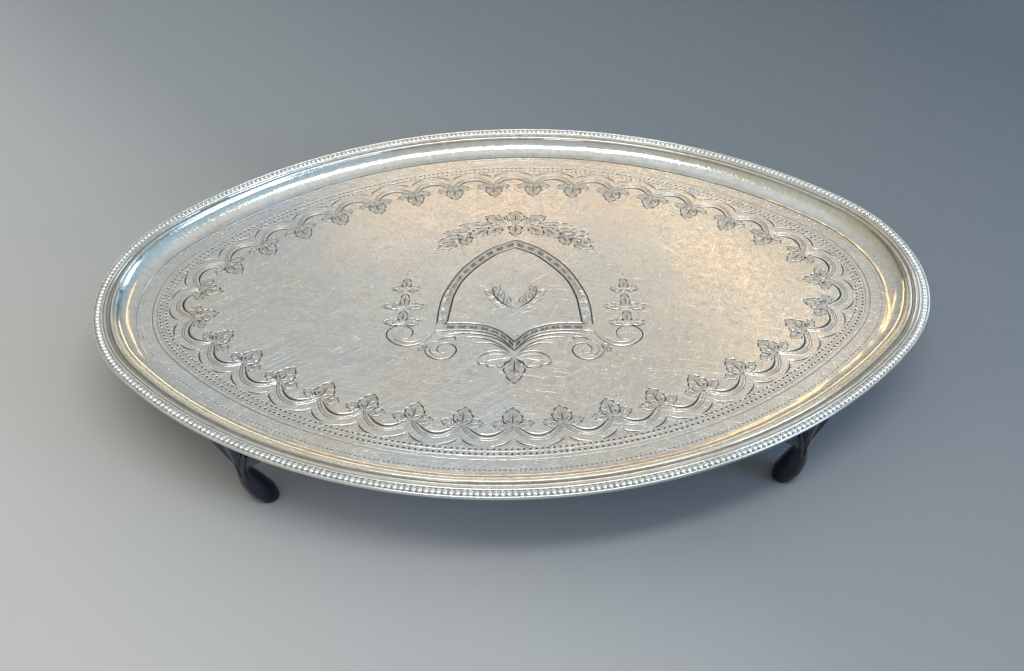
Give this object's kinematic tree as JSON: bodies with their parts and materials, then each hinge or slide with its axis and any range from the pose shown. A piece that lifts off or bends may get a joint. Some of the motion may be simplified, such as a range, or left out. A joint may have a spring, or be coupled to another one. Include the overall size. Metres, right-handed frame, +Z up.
{
  "type": "salver",
  "caption": "Oval footed silver salver: flat engraved plate, hollow moulded border with a beaded edge, and small cast hoof feet with fan brackets.",
  "frame": {"origin": "on the surface the feet stand on, under the middle of the oval", "axes": "+X along the long way of the oval, +Y along the short way towards the back, +Z up"},
  "size_m": [0.32, 0.22, 0.0351],
  "materials": {
    "silver_plate": "polished, finely scratched, engraved",
    "silver_border": "polished, softly worn",
    "silver_beading": "polished beads",
    "tarnished_feet": "dark tarnished silver"
  },
  "bodies": {
    "root": {"field_plate": "silver_plate", "border_front": "silver_border", "border_back": "silver_border", "beading_front": "silver_beading", "beading_back": "silver_beading", "foot_front_left": "tarnished_feet", "foot_front_right": "tarnished_feet", "foot_back_left": "tarnished_feet", "foot_back_right": "tarnished_feet"}
  },
  "joints": []
}
